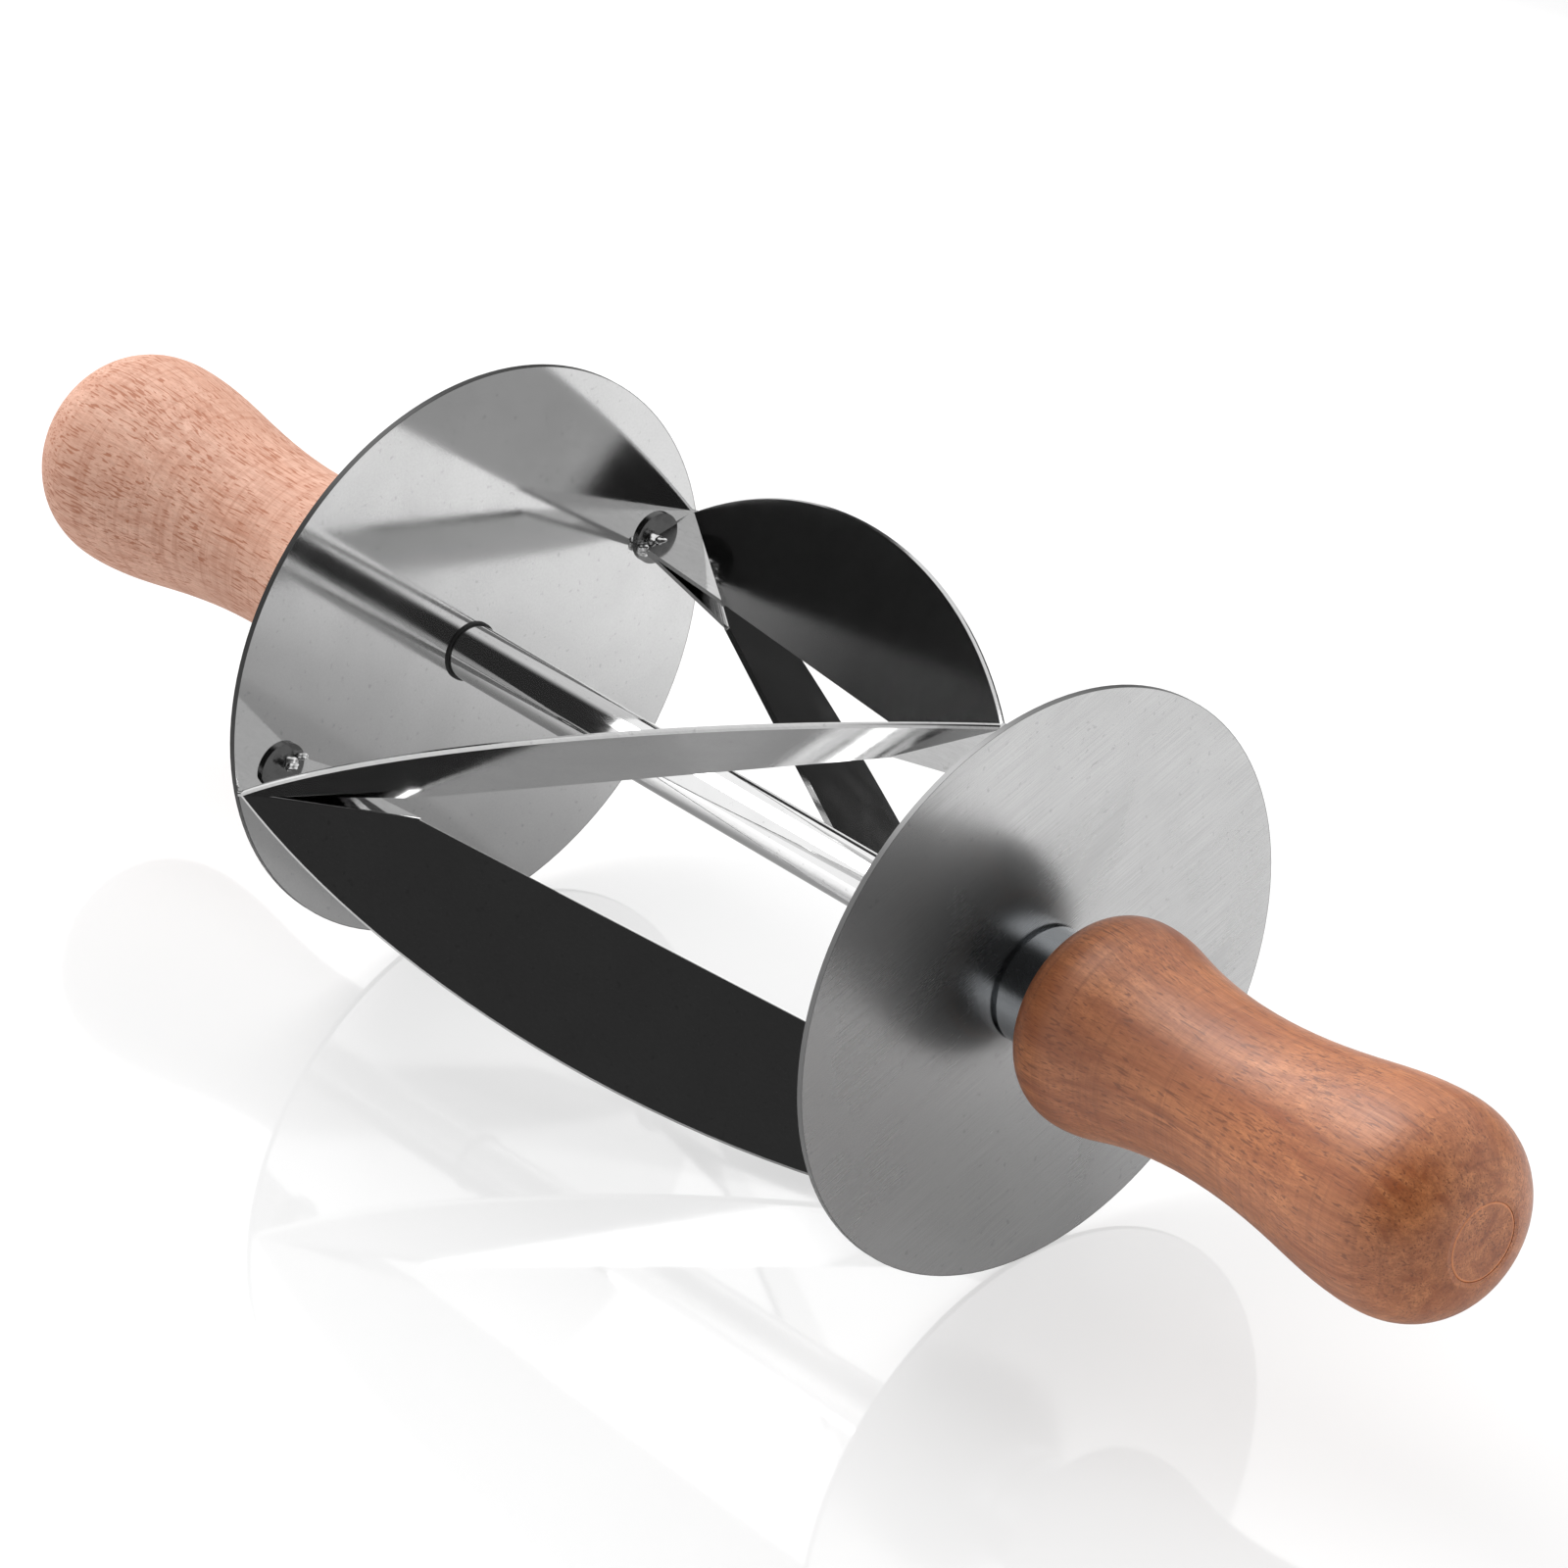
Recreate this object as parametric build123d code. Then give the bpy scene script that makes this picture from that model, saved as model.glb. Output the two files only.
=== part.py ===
from build123d import *
import math
import os

# Croissant cutter roller: a cage of two discs and four zigzag blades that turns on a fixed
# axle tube between two turned wooden handles.
# Millimetres. X runs along the axle, +Z is up, the origin is the middle of the axle.

# Cutting cage
disc_radius = 50.0
cutting_radius = 49.8  # the blades' outer edges stay just inside the rims
disc_thickness = 1.0
disc_span = 138.0  # outer face to outer face
phase = 8.5  # angle of the first blade corner above +Y, seen along the axle
blade_thickness = 1.0
blade_bevel = 0.35
blade_depth = 9.8  # chord of the cutting edge to the straight inner edge
blade_count = 4
step_angle = 360 / blade_count
fold_fraction = 0.19  # share of the chord taken up by the folded tab at each end
tab_root_radius = 37.5  # where a tab's inner corner meets the disc
boss_orbit = 40.8
boss_radius = 4.5
boss_height = 0.6

# Axle
tube_radius = 4.8
tube_bore = 3.3
tube_seat = 12.0  # depth of the tube in each handle
rod_radius = 3.0  # M6 tie rod

# Bushes and collars
running_gap = 0.05  # radial, bush on tube
bush_nose_radius = 5.2
bush_body_radius = 7.0
bush_lip = 0.3  # the nose stands this far inside the disc
collar_radius = 10.0
collar_groove_radius = 9.2
collar_groove_width = 0.7
collar_length = 7.0
collar_round = 0.8
side_gap = 0.3  # cage to thrust washer, each side
thrust_washer_radius = 9.0
thrust_washer_thickness = 1.0

# Handles, measured from the front face of the handle along the axle
handle_length = 89.0
face_radius = 12.0
shoulder_at = 8.5
shoulder_radius = 17.8
flank_at = 16.5
flank_radius = 16.4
neck_at = 34.6
neck_radius = 14.3
swell_at = 56.2
swell_radius = 16.3
bulb_at = 74.0
bulb_radius = 18.5
crown_at = 84.4
crown_radius = 15.2
tip_radius = 7.6
along_axle = (1, 0)
face_slope = (0.35, 1)  # the front face curls into the shoulder
tip_slope = (0.2, -1)

# Fixings in the handles
rod_bore = 3.2
nut_bore = 3.02
nut_pocket_radius = 6.7  # the plug fills it
nut_pocket_depth = 20.0
end_washer_radius = 6.0
end_washer_thickness = 1.6
nut_flats = 10.0
nut_height = 5.0
rod_stand_out = 1.5  # thread past the nut
plug_thickness = 6.0
plug_round = 0.3

# Cutting shapes run this far past what they cut
overcut = 1.0
edge_tolerance = 0.01

inner_face = disc_span / 2 - disc_thickness
outer_face = disc_span / 2
washer_start = outer_face + collar_length + side_gap
handle_start = washer_start + thrust_washer_thickness
handle_end = handle_start + handle_length
pocket_floor = handle_end - nut_pocket_depth
nut_start = pocket_floor + end_washer_thickness
rod_end = nut_start + nut_height + rod_stand_out


def ring(outer, inner, start, end):
    """A round sleeve along X from start to end."""
    length = end - start
    sleeve = Cylinder(outer, length) - Cylinder(inner, length)
    return Pos((start + end) / 2, 0, 0) * Rot(0, 90, 0) * sleeve


def rod(radius, start, end):
    """A round bar along X from start to end."""
    return Pos((start + end) / 2, 0, 0) * Rot(0, 90, 0) * Cylinder(radius, end - start)


def rounded_rim(shape, radius, x):
    """Round the outer circular edge of a turned piece that lies at x."""
    rims = [e for e in shape.edges() if abs(e.center().X - x) < edge_tolerance]
    outer = max(rims, key=lambda e: e.length)
    return fillet([outer], radius)


def disc():
    """Right side disc."""
    return ring(disc_radius, bush_nose_radius, inner_face, outer_face)


def collar():
    """Polished collar on the outside of the right disc, with a narrow groove at its foot."""
    end = outer_face + collar_length
    body = rounded_rim(ring(collar_radius, bush_body_radius, outer_face, end), collar_round, end)
    groove = ring(collar_radius + overcut, collar_groove_radius, outer_face, outer_face + collar_groove_width)
    return body - groove


def bush():
    """Plain bearing pressed into the right collar, with a nose through the disc."""
    nose = rod(bush_nose_radius, inner_face - bush_lip, outer_face)
    body = rod(bush_body_radius, outer_face, outer_face + collar_length)
    bore = rod(tube_radius + running_gap, inner_face - bush_lip, outer_face + collar_length)
    return nose + body - bore


def thrust_washer():
    """Washer on the tube between the right collar and its handle."""
    return ring(thrust_washer_radius, tube_radius, washer_start, handle_start)


def handle():
    """Right turned handle, bored for the rod, with seats for the tube and the nut."""
    face = (handle_start, face_radius)
    shoulder = (handle_start + shoulder_at, shoulder_radius)
    flank = (handle_start + flank_at, flank_radius)
    neck = (handle_start + neck_at, neck_radius)
    swell = (handle_start + swell_at, swell_radius)
    bulb = (handle_start + bulb_at, bulb_radius)
    crown = (handle_start + crown_at, crown_radius)
    tip = (handle_end, tip_radius)
    outline = [
        Line((handle_start, 0), face),
        Spline([face, shoulder], tangents=[face_slope, along_axle]),
        Spline([shoulder, flank, neck, swell, bulb], tangents=[along_axle, along_axle]),
        Spline([bulb, crown, tip], tangents=[along_axle, tip_slope]),
        Line(tip, (handle_end, 0)),
        Line((handle_end, 0), (handle_start, 0)),
    ]
    body = revolve(Plane.XZ * make_face(outline), Axis.X)
    body -= rod(rod_bore, handle_start, handle_end)
    body -= rod(tube_radius, handle_start, handle_start + tube_seat)
    body -= rod(nut_pocket_radius, pocket_floor, handle_end)
    return body


def end_washer():
    """Steel washer on the floor of the right nut pocket."""
    return ring(end_washer_radius, rod_bore, pocket_floor, nut_start)


def nut():
    """Hexagon nut on the right end of the tie rod."""
    hexagon = RegularPolygon(nut_flats / 2, 6, major_radius=False)
    blank = Plane(origin=(nut_start, 0, 0), z_dir=(1, 0, 0)) * extrude(hexagon, nut_height)
    return blank - rod(nut_bore, nut_start, nut_start + nut_height)


def end_plug():
    """Wooden plug that closes the right nut pocket."""
    plug = rod(nut_pocket_radius, handle_end - plug_thickness, handle_end)
    return rounded_rim(plug, plug_round, handle_end)


def radial(angle, radius, x):
    """A point at an angle and a radius about the axle."""
    turn = math.radians(angle)
    return Vector(x, radius * math.cos(turn), radius * math.sin(turn))


def blade_corner(index):
    """Side (-1 left, +1 right) and angle of a corner of the zigzag."""
    return (-1 if index % 2 == 0 else 1), phase + step_angle * index


def boss(index):
    """Round boss that a pair of tabs is welded to, on the inside of a disc."""
    side, angle = blade_corner(index)
    inner = inner_face - boss_height
    centre = radial(angle, boss_orbit, side * (inner_face + inner) / 2)
    return Pos(*centre) * Rot(0, 90, 0) * Cylinder(boss_radius, boss_height)


def tab(corner, fold_corner, root):
    """Folded triangular end of a blade, run past the disc so that it can be trimmed flush."""
    along = (corner - root).normalized()
    inward = fold_corner - corner
    inward -= along * inward.dot(along)
    overrun = inward.normalized() * (2 * blade_thickness)
    outline = Polyline(corner, fold_corner, root, root - overrun, corner - overrun, close=True)
    return extrude(make_face(outline), blade_thickness / 2, both=True)


def bend(corner, fold_corner):
    """Rounded outside of the fold between a tab and its blade."""
    run = fold_corner - corner
    bar = Cylinder(blade_thickness / 2, run.length, align=(Align.CENTER, Align.CENTER, Align.MIN))
    return Plane(origin=corner, z_dir=run) * bar


def blade(index):
    """One zigzag blade: a flat sheet with a ground outer edge and a folded tab at each end."""
    side, first_angle = blade_corner(index)
    start = radial(first_angle, cutting_radius, side * inner_face)
    end = radial(first_angle + step_angle, cutting_radius, -side * inner_face)
    middle = radial(first_angle + step_angle / 2, 1, 0)
    chord = end - start
    half = chord.length / 2
    chord_height = cutting_radius * math.cos(math.radians(step_angle / 2))
    inner_edge = chord_height - blade_depth
    fold_at = half * (1 - 2 * fold_fraction)

    sheet_plane = Plane(origin=(0, 0, 0), x_dir=chord, z_dir=chord.cross(middle))
    stretch = cutting_radius / math.sqrt(cutting_radius**2 - chord_height**2)
    oval = extrude(Ellipse(half * stretch, cutting_radius), blade_thickness / 2, both=True)
    oval = chamfer(oval.edges(), blade_bevel)
    window = Polyline(
        (-half, chord_height), (-fold_at, inner_edge), (fold_at, inner_edge), (half, chord_height),
        (half, disc_radius + overcut), (-half, disc_radius + overcut), close=True)
    sheet = oval & extrude(make_face(window), blade_thickness, both=True)
    body = sheet_plane * sheet

    first_fold = sheet_plane.from_local_coords(Vector(-fold_at, inner_edge, 0))
    last_fold = sheet_plane.from_local_coords(Vector(fold_at, inner_edge, 0))
    first_root = radial(first_angle, tab_root_radius, side * inner_face)
    last_root = radial(first_angle + step_angle, tab_root_radius, -side * inner_face)
    body += tab(start, first_fold, first_root) + bend(start, first_fold)
    body += tab(end, last_fold, last_root) + bend(end, last_fold)

    body &= quarter(first_angle)
    return body - boss(index) - boss(index + 1)


def quarter(first_angle):
    """Quarter of the space between the discs that starts at an angle about the axle."""
    sides = (Align.CENTER, Align.MIN, Align.MIN)
    return Rot(first_angle, 0, 0) * Box(2 * inner_face, 2 * disc_radius, 2 * disc_radius, align=sides)


def both_sides(name, shape):
    """Save a right-hand piece and its mirror image on the left."""
    export_step(shape, f"parts/right_{name}.step")
    export_step(mirror(shape, Plane.YZ), f"parts/left_{name}.step")


os.makedirs("parts", exist_ok=True)
tube_end = handle_start + tube_seat
export_step(ring(tube_radius, tube_bore, -tube_end, tube_end), "parts/axle_tube.step")
export_step(rod(rod_radius, -rod_end, rod_end), "parts/tie_rod.step")
both_sides("handle", handle())
both_sides("end_plug", end_plug())
both_sides("end_washer", end_washer())
both_sides("nut", nut())
both_sides("thrust_washer", thrust_washer())
both_sides("disc", disc())
both_sides("collar", collar())
both_sides("bush", bush())
for number in range(blade_count):
    export_step(blade(number), f"parts/blade_{number + 1}.step")
export_step(Compound([boss(0), boss(2)]), "parts/left_weld_bosses.step")
export_step(Compound([boss(1), boss(3)]), "parts/right_weld_bosses.step")
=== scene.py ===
import math
import random
import bmesh
import bpy
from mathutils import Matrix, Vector


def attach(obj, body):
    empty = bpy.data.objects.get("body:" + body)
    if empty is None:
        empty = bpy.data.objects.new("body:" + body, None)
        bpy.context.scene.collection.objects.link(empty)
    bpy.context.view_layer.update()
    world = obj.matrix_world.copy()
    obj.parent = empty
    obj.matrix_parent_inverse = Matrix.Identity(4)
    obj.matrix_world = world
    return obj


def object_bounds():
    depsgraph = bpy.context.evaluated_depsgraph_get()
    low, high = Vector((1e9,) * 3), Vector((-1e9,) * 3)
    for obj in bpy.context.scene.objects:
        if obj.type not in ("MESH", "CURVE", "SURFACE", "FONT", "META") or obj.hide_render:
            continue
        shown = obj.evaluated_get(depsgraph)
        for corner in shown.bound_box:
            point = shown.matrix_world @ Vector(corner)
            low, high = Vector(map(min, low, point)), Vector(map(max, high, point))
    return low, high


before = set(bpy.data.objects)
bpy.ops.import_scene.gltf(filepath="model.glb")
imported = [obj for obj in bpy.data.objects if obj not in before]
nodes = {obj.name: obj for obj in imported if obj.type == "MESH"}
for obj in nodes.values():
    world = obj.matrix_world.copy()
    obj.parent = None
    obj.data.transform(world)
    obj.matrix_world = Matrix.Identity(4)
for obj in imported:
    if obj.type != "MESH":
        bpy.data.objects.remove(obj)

cad_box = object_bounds()
scene = bpy.context.scene
blade_count = 4

# ---------------------------------------------------------------- node helpers


class Graph:
    """Small helper that builds a material's node tree."""

    def __init__(self, name):
        self.mat = bpy.data.materials.new(name)
        self.mat.use_nodes = True
        self.tree = self.mat.node_tree
        self.shader = self.tree.nodes["Principled BSDF"]

    def node(self, kind, **settings):
        made = self.tree.nodes.new(kind)
        for key, value in settings.items():
            setattr(made, key, value)
        return made

    def link(self, source, target):
        self.tree.links.new(source, target)

    def coords(self, size=(1, 1, 1), turn=0.0):
        """Object coordinates for marks of a given size along X, Y and Z, turned about X."""
        where = self.node("ShaderNodeTexCoord")
        mapping = self.node("ShaderNodeMapping", vector_type="TEXTURE")
        mapping.inputs["Scale"].default_value = size
        mapping.inputs["Rotation"].default_value = (math.radians(turn), 0, 0)
        self.link(where.outputs["Object"], mapping.inputs["Vector"])
        return mapping.outputs["Vector"]

    def reach(self):
        """Distance of a point from the axle line."""
        where = self.node("ShaderNodeTexCoord")
        flat = self.node("ShaderNodeVectorMath", operation="MULTIPLY")
        flat.inputs[1].default_value = (0, 1, 1)
        length = self.node("ShaderNodeVectorMath", operation="LENGTH")
        self.link(where.outputs["Object"], flat.inputs[0])
        self.link(flat.outputs["Vector"], length.inputs[0])
        return length.outputs["Value"]

    def noise(self, vector, scale, detail=3.0, rough=0.55, distortion=0.0):
        made = self.node("ShaderNodeTexNoise")
        made.inputs["Scale"].default_value = scale
        made.inputs["Detail"].default_value = detail
        made.inputs["Roughness"].default_value = rough
        made.inputs["Distortion"].default_value = distortion
        self.link(vector, made.inputs["Vector"])
        return made.outputs["Fac"]

    def spread(self, value, low, high, to_low=0.0, to_high=1.0):
        """Map a value from one range to another."""
        made = self.node("ShaderNodeMapRange")
        made.inputs["From Min"].default_value = low
        made.inputs["From Max"].default_value = high
        made.inputs["To Min"].default_value = to_low
        made.inputs["To Max"].default_value = to_high
        self.link(value, made.inputs["Value"])
        return made.outputs["Result"]

    def mix(self, factor, first, second):
        """Mix two colours; each is a socket or a colour."""
        made = self.node("ShaderNodeMix", data_type="RGBA")
        self.link(factor, made.inputs["Factor"])
        for value, key in ((first, 6), (second, 7)):
            if isinstance(value, tuple):
                made.inputs[key].default_value = (*value, 1)
            else:
                self.link(value, made.inputs[key])
        return made.outputs[2]

    def math(self, operation, first, second):
        made = self.node("ShaderNodeMath", operation=operation)
        for value, key in ((first, 0), (second, 1)):
            if isinstance(value, (int, float)):
                made.inputs[key].default_value = value
            else:
                self.link(value, made.inputs[key])
        return made.outputs["Value"]

    def bump(self, height, strength, distance):
        made = self.node("ShaderNodeBump")
        made.inputs["Strength"].default_value = strength
        made.inputs["Distance"].default_value = distance
        self.link(height, made.inputs["Height"])
        return made.outputs["Normal"]

    def put(self, key, value):
        """Set a shader input from a socket, a number or a colour."""
        target = self.shader.inputs[key]
        if isinstance(value, (int, float)):
            target.default_value = value
        elif isinstance(value, tuple):
            target.default_value = (*value, 1)
        else:
            self.link(value, target)


def scaled(tone, share):
    """A colour times a share."""
    return tuple(c * share for c in tone)


fine_stroke = (0.004, 0.0004, 0.0004)


def steel(
        name, tone, low, high, stroke=fine_stroke, turn=0.0, grain=0.02, blotch=0.03, streak=0.0,
        rim=None, shaded_rim_share=0.25):
    """Stainless steel with brushing, faint smears and small specks.

    Roughness runs from low to high. Beyond the radius `rim` lies a rougher sheared edge, its colour darkened
    as painted shade to the given share of the tone.
    """
    g = Graph(name)
    lines = g.noise(g.coords(stroke, turn), 1.0, 3.0, 0.6)
    smear = g.noise(g.coords((blotch, blotch, blotch)), 1.0, 5.0, 0.6, 0.6)
    speck = g.noise(g.coords((0.0011, 0.0011, 0.0011)), 1.0, 2.0, 0.5)
    rough = g.spread(g.math("ADD", g.math("MULTIPLY", lines, 0.35), smear), 0.45, 0.95, low, high)
    dull = scaled(tone, 0.6)
    shade = g.mix(g.spread(smear, 0.35, 0.7), tone, scaled(tone, 0.9))
    shade = g.mix(g.spread(lines, 0.35, 0.7, 0.0, streak), shade, dull)
    shade = g.mix(g.spread(speck, 0.66, 0.74, 0.0, 0.4), shade, dull)
    # Rim band: painted shade darkens the disc's outer edge; the roughness rise stands for the sheared edge.
    if rim:
        edge = g.spread(g.reach(), rim - 0.00015, rim - 0.00005)
        shade = g.mix(edge, shade, scaled(tone, shaded_rim_share))
        rough = g.math("MAXIMUM", rough, g.math("MULTIPLY", edge, 0.4))
    g.put("Base Color", shade)
    g.put("Metallic", 1.0)
    g.put("Roughness", rough)
    g.put("Normal", g.bump(lines, grain, 0.0001))
    return g.mat


def wood(name, pale, deep, pore, pores, depth, lacquer, ring=None):
    """Beech turned about X: growth figure, pore flecks, faint lathe rings, satin lacquer.

    Flecks appear above the level `pores` with the strength `depth`; a ring radius adds a pale rim.
    """
    g = Graph(name)
    figure = g.noise(g.coords((0.08, 0.0045, 0.0045)), 1.0, 4.0, 0.6, 1.2)
    fibre = g.noise(g.coords((0.010, 0.0004, 0.0004)), 1.0, 3.0, 0.65)
    cloud = g.noise(g.coords((0.035, 0.02, 0.02)), 1.0, 3.0, 0.5)
    rings = g.noise(g.coords((0.0011, 0.03, 0.03)), 1.0, 2.0, 0.7)
    flecks = g.noise(g.coords((0.0028, 0.00032, 0.00032)), 1.0, 0.0, 0.5)
    hairs = g.noise(g.coords((0.0016, 0.00016, 0.00016)), 1.0, 1.0, 0.5)
    patches = g.noise(g.coords((0.02, 0.005, 0.005)), 1.0, 2.0, 0.5)
    base = g.mix(g.spread(figure, 0.36, 0.66), pale, deep)
    base = g.mix(g.spread(fibre, 0.4, 0.75, 0.0, 0.55), base, scaled(deep, 0.6))
    base = g.mix(g.spread(cloud, 0.45, 0.7, 0.0, 0.6), base, scaled(deep, 0.85))
    streaks = g.noise(g.coords((0.05, 0.0011, 0.0011)), 1.0, 2.0, 0.6, 0.4)
    base = g.mix(g.spread(streaks, 0.5, 0.7, 0.0, 0.35), base, pore)
    base = g.mix(g.spread(rings, 0.5, 0.75, 0.0, 0.4), base, pore)
    base = g.mix(g.spread(hairs, 0.55, 0.7, 0.0, 0.4), base, pore)
    edge = g.math("ADD", flecks, g.math("MULTIPLY", patches, 0.4))
    marks = g.spread(edge, pores, pores + 0.07, 0.0, depth)
    base = g.mix(marks, base, pore)
    if ring:
        border = g.spread(g.reach(), ring - 0.0005, ring - 0.0002, 0.0, 0.6)
        base = g.mix(border, base, scaled(pale, 1.5))
    g.put("Base Color", base)
    matte = 0.62 - 0.5 * lacquer
    g.put("Roughness", g.spread(fibre, 0.3, 0.8, matte, matte + 0.18))
    g.put("Coat Weight", lacquer)
    g.put("Coat Roughness", 0.42)
    height = g.math("SUBTRACT", g.math("MULTIPLY", rings, 1.0), g.math("MULTIPLY", marks, 0.6))
    g.put("Normal", g.bump(g.math("ADD", height, g.math("MULTIPLY", fibre, 0.4)), 0.2, 0.0003))
    return g.mat


def plastic(name, tone):
    """Matte moulded plastic."""
    g = Graph(name)
    fine = g.noise(g.coords((0.0006, 0.0006, 0.0006)), 1.0, 3.0)
    g.put("Base Color", g.mix(fine, tone, scaled(tone, 1.6)))
    g.put("Roughness", g.spread(fine, 0.3, 0.7, 0.4, 0.6))
    g.put("Normal", g.bump(fine, 0.08, 0.0002))
    return g.mat


def paint(node, mat):
    """Give one CAD node one material."""
    node.data.materials.clear()
    node.data.materials.append(mat)


disc_radius = 0.05
brush_stroke = (1, 0.014, 0.00016)
disc_mat = {
    # The left disc's rim carries much deeper painted shade than the right disc's.
    "left": steel(
        "left_disc_steel", (0.65, 0.65, 0.65), 0.05, 0.13, streak=0.15, rim=disc_radius, shaded_rim_share=0.06),
    "right": steel(
        "right_disc_steel", (0.58, 0.58, 0.58), 0.18, 0.32, brush_stroke, turn=18.0, grain=0.018, streak=0.35,
        rim=disc_radius),
}
blade_mat = steel("blade_steel", (0.55, 0.55, 0.55), 0.05, 0.12, blotch=0.015, streak=0.2)
tube_mat = steel("tube_chrome", (0.78, 0.78, 0.78), 0.03, 0.09)
collar_mat = steel("collar_steel", (0.40, 0.42, 0.44), 0.08, 0.18)
boss_mat = steel("boss_steel", (0.16, 0.16, 0.16), 0.12, 0.3, blotch=0.0025)
bead_mat = steel("weld_bead_steel", (0.7, 0.7, 0.7), 0.12, 0.35, blotch=0.001)
zinc_mat = steel("zinc_steel", (0.66, 0.68, 0.70), 0.2, 0.4)
nylon_mat = plastic("black_nylon", (0.012, 0.012, 0.012))
tones = {
    "left": ((0.76, 0.46, 0.345), (0.66, 0.355, 0.25), (0.38, 0.13, 0.06), 0.83, 0.85, 0.02),
    "right": ((0.68, 0.25, 0.088), (0.39, 0.105, 0.028), (0.22, 0.06, 0.016), 0.86, 0.8, 0.45),
}
plug_radius = 0.0067
beech = {side: wood(side + "_beech", *tone) for side, tone in tones.items()}
plug_beech = {side: wood(side + "_plug_beech", *tone, plug_radius) for side, tone in tones.items()}

paint(nodes["axle_tube"], tube_mat)
paint(nodes["tie_rod"], zinc_mat)
for side in ("left", "right"):
    paint(nodes[side + "_handle"], beech[side])
    paint(nodes[side + "_end_plug"], plug_beech[side])
    paint(nodes[side + "_disc"], disc_mat[side])
    paint(nodes[side + "_collar"], collar_mat)
    paint(nodes[side + "_weld_bosses"], boss_mat)
    for name in ("_bush", "_thrust_washer"):
        paint(nodes[side + name], nylon_mat)
    for name in ("_nut", "_end_washer"):
        paint(nodes[side + name], zinc_mat)
for number in range(1, blade_count + 1):
    paint(nodes[f"blade_{number}"], blade_mat)

# ---------------------------------------------------------------- weld beads

inner_face = 0.0680
bead_orbit = 0.0395
first_bead_angle = 8.5
bead_lumps = ((0.0008, 0.0, 0.0016), (0.0021, 0.0006, 0.0013), (0.0011, -0.0022, 0.0012))
bead_ripple = 0.12
bead_clearance = 0.00005


def bead(number):
    """Lumpy weld bead where two blade tabs meet on their boss."""
    dice = random.Random(number)
    side = -1 if number % 2 == 0 else 1
    turn = math.radians(first_bead_angle + 360 / blade_count * number)
    limit = inner_face - bead_clearance
    mesh = bmesh.new()
    for inward, along, size in bead_lumps:
        orbit = bead_orbit + along
        spot = Vector((side * (inner_face - inward), orbit * math.cos(turn), orbit * math.sin(turn)))
        made = bmesh.ops.create_icosphere(mesh, subdivisions=4, radius=size)
        phase = [dice.uniform(0, 6.28) for _ in range(3)]
        for v in made["verts"]:
            d = v.co.normalized()
            ripple = math.sin(5 * d.x + phase[0]) * math.sin(4 * d.y + phase[1])
            ripple += 0.5 * math.sin(7 * d.z + phase[2])
            v.co = d * size * (1 + bead_ripple * ripple) + spot
            v.co.x = max(-limit, min(limit, v.co.x))
    data = bpy.data.meshes.new(f"weld_bead_{number + 1}")
    mesh.to_mesh(data)
    mesh.free()
    for face in data.polygons:
        face.use_smooth = True
    made = bpy.data.objects.new(data.name, data)
    scene.collection.objects.link(made)
    made.data.materials.append(bead_mat)
    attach(made, "cage")


for number in range(blade_count):
    bead(number)

# ---------------------------------------------------------------- floor, light, camera

floor_z = cad_box[0].z
floor_gap = 0.0002
shade_gap = 0.0001
flag_gap = 0.0004

bpy.ops.mesh.primitive_plane_add(size=12, location=(0, 0, floor_z - floor_gap))
floor = bpy.context.object
floor.name = "floor"
g = Graph("floor_gloss")
tint = g.noise(g.coords((0.3, 0.3, 0.3)), 1.0, 2.0)
g.put("Base Color", g.mix(tint, (0.36, 0.36, 0.36), (0.38, 0.38, 0.38)))
g.put("Roughness", 0.05)
g.put("IOR", 2.05)
g.put("Emission Color", (1.0, 1.0, 1.0))
g.put("Emission Strength", 0.56)
g.mat.cycles.emission_sampling = "NONE"
floor.data.materials.append(g.mat)


def studio_world(dark, bright, front, near, far):
    """Bright room with a dark area round the front direction, where the photographer stands.

    The room is dark where the cosine to that direction is above `near` and bright below `far`.
    """
    world = bpy.data.worlds.new("studio")
    scene.world = world
    world.use_nodes = True
    tree = world.node_tree
    tree.nodes["Background"].inputs["Color"].default_value = (1, 1, 1, 1)
    where = tree.nodes.new("ShaderNodeTexCoord")
    toward = tree.nodes.new("ShaderNodeVectorMath")
    toward.operation = "DOT_PRODUCT"
    toward.inputs[1].default_value = Vector(front).normalized()
    ramp = tree.nodes.new("ShaderNodeMapRange")
    ramp.interpolation_type = "SMOOTHSTEP"
    for key, value in (("From Min", far), ("From Max", near), ("To Min", bright), ("To Max", dark)):
        ramp.inputs[key].default_value = value
    tree.links.new(where.outputs["Generated"], toward.inputs[0])
    tree.links.new(toward.outputs["Value"], ramp.inputs["Value"])
    tree.links.new(ramp.outputs["Result"], tree.nodes["Background"].inputs["Strength"])


studio_world(dark=0.045, bright=1.15, front=(0.62, -0.60, 0.51), near=0.8, far=0.53)


def one_sided(g, outside):
    """Let a staging surface be seen from outside only."""
    side = g.node("ShaderNodeNewGeometry")
    clear = g.node("ShaderNodeBsdfTransparent")
    blend = g.node("ShaderNodeMixShader")
    g.link(side.outputs["Backfacing"], blend.inputs["Fac"])
    g.link(outside, blend.inputs[1])
    g.link(clear.outputs["BSDF"], blend.inputs[2])
    g.link(blend.outputs["Shader"], g.tree.nodes["Material Output"].inputs["Surface"])


def hide(made):
    """Keep a staging piece out of everything but reflections."""
    for key in ("visible_camera", "visible_diffuse", "visible_shadow", "visible_transmission"):
        setattr(made, key, False)


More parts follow.
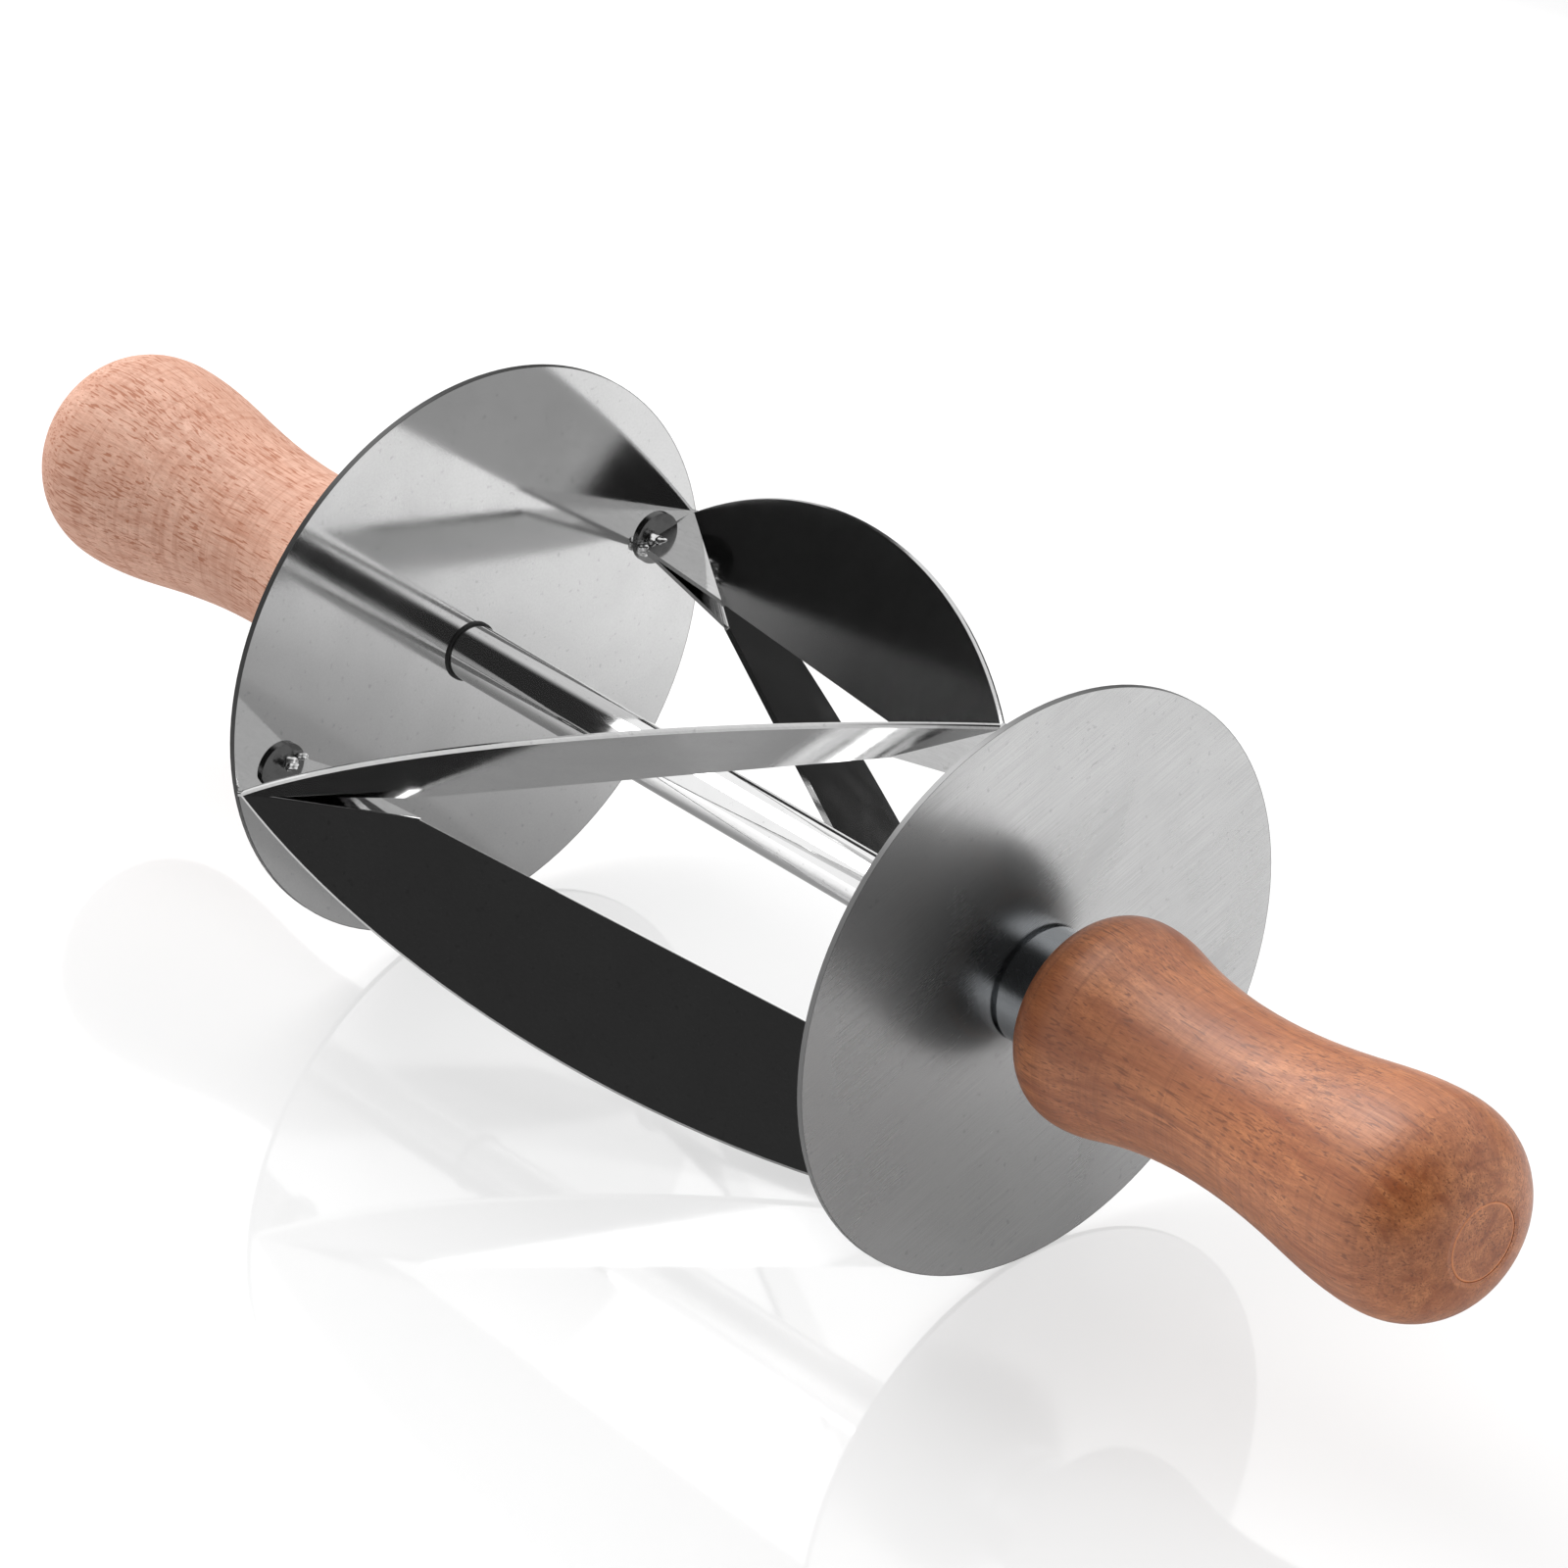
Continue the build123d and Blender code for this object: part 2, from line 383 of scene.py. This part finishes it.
def card(name, width, height, place, turn):
    """An upright dark card behind the object, seen only in reflections."""
    upright = (math.radians(90), 0, math.radians(turn))
    bpy.ops.mesh.primitive_plane_add(size=1, location=place, rotation=upright)
    made = bpy.context.object
    made.name = name
    made.scale = (width, height, 1)
    g = Graph(name)
    g.put("Base Color", (0.02, 0.02, 0.02))
    g.put("Roughness", 0.9)
    made.data.materials.append(g.mat)
    hide(made)


card("back_card", 1.6, 0.34, (-0.3, 0.9, 0.10), 15)


def flag(node):
    """Dark sleeve round a handle, seen only in reflections and clear from inside."""
    data = node.data.copy()
    made = bpy.data.objects.new(node.name + "_flag", data)
    scene.collection.objects.link(made)
    for v in data.vertices:
        v.co += v.normal * flag_gap
    g = Graph(made.name)
    one_sided(g, g.shader.outputs["BSDF"])
    g.put("Base Color", (0.22, 0.22, 0.22))
    g.put("Roughness", 0.7)
    data.materials.clear()
    data.materials.append(g.mat)
    hide(made)


def shade():
    """Soft shade on the floor under the object, seen only in the steel."""
    bpy.ops.mesh.primitive_plane_add(size=1, location=(0, 0, floor_z - shade_gap))
    made = bpy.context.object
    made.name = "floor_shade"
    made.scale = (0.6, 0.24, 1)
    g = Graph(made.name)
    where = g.coords()
    across = g.node("ShaderNodeSeparateXYZ")
    g.link(where, across.inputs["Vector"])
    offset = g.math("ABSOLUTE", across.outputs["Y"], 0.0)
    level = g.node("ShaderNodeMapRange", interpolation_type="SMOOTHSTEP")
    for key, value in (("From Min", 0.0), ("From Max", 0.42), ("To Min", 0.46), ("To Max", 1.0)):
        level.inputs[key].default_value = value
    g.link(offset, level.inputs["Value"])
    dim = g.node("ShaderNodeBsdfTransparent")
    g.link(level.outputs["Result"], dim.inputs["Color"])
    one_sided(g, dim.outputs["BSDF"])
    made.data.materials.append(g.mat)
    hide(made)


shade()
for side in ("left", "right"):
    flag(nodes[side + "_handle"])


def lamp(name, energy, size, place, target=(0, 0, 0)):
    """A soft square lamp aimed at a point."""
    data = bpy.data.lights.new(name, "AREA")
    data.energy = energy
    data.size = size
    made = bpy.data.objects.new(name, data)
    scene.collection.objects.link(made)
    made.location = place
    made.rotation_euler = (Vector(target) - Vector(place)).to_track_quat("-Z", "Y").to_euler()
    return made


lamp("key", 7.5, 0.75, (-0.6, 0.0, 0.9))
scene.view_settings.view_transform = "Standard"

azimuth, elevation = math.radians(48.169), math.radians(31.237)
frame_width = 1600
focal_length = 10849.8  # on the same scale as frame_width
film_width = 36
distance, aim_right, aim_up = 34, 0.12195, 0.0891  # in disc radii
flat = math.cos(elevation)
back = Vector((math.sin(azimuth) * flat, -math.cos(azimuth) * flat, math.sin(elevation)))
right = Vector((math.cos(azimuth), math.sin(azimuth), 0))
up = back.cross(right)
camera_data = bpy.data.cameras.new("camera")
camera = bpy.data.objects.new("camera", camera_data)
scene.collection.objects.link(camera)
camera_data.sensor_width = film_width
camera_data.lens = focal_length / frame_width * film_width
camera.location = (back * distance + right * aim_right + up * aim_up) * disc_radius
camera.rotation_mode = "QUATERNION"
camera.rotation_quaternion = (-back).to_track_quat("-Z", "Y")
camera_data.clip_start = 0.05
camera_data.clip_end = 50
scene.camera = camera
